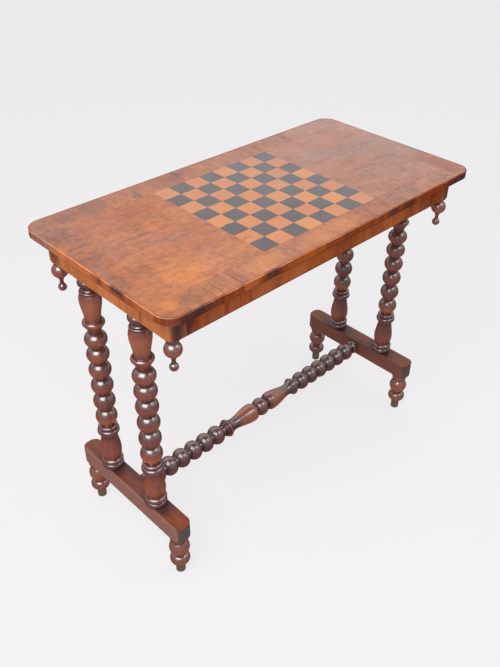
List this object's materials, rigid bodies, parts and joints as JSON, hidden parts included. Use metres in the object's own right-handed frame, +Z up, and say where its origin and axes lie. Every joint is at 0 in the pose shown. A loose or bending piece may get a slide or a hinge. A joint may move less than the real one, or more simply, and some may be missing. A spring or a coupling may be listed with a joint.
{
  "type": "games table",
  "caption": "Oblong games table with an inlaid chequerboard top, rounded corners, hanging pendants and bobbin-turned trestle legs joined by a turned stretcher.",
  "frame": {"origin": "centre of the table's outline on the floor, under the feet", "axes": "+X along the table's length, +Y across its depth towards the back, +Z up"},
  "size_m": [0.866, 0.434, 0.722],
  "materials": {
    "top_veneer": "worn satin polish",
    "dark_square": "worn satin polish",
    "light_square": "worn satin polish",
    "lipping": "polished",
    "frieze": "polished",
    "turned": "gloss polish",
    "base_rail": "worn polish",
    "ground": "bare",
    "screw": "dull"
  },
  "bodies": {
    "root": {"base_rail_left": "base_rail", "base_rail_right": "base_rail", "border_back": "top_veneer", "border_front": "top_veneer", "border_left": "top_veneer", "border_right": "top_veneer", "field_left": "top_veneer", "field_right": "top_veneer", "foot_back_left": "turned", "foot_back_right": "turned", "foot_front_left": "turned", "foot_front_right": "turned", "frieze_back": "frieze", "frieze_front": "frieze", "frieze_left": "frieze", "frieze_right": "frieze", "glue_blocks": "ground", "leg_back_left": "turned", "leg_back_right": "turned", "leg_front_left": "turned", "leg_front_right": "turned", "lipping_back": "lipping", "lipping_corners": "lipping", "lipping_front": "lipping", "lipping_left": "lipping", "lipping_right": "lipping", "pendant_back_left": "turned", "pendant_back_right": "turned", "pendant_front_left": "turned", "pendant_front_right": "turned", "squares_dark": "dark_square", "squares_light": "light_square", "stretcher": "turned", "top_board": "ground", "top_screws": "screw"}
  },
  "joints": []
}
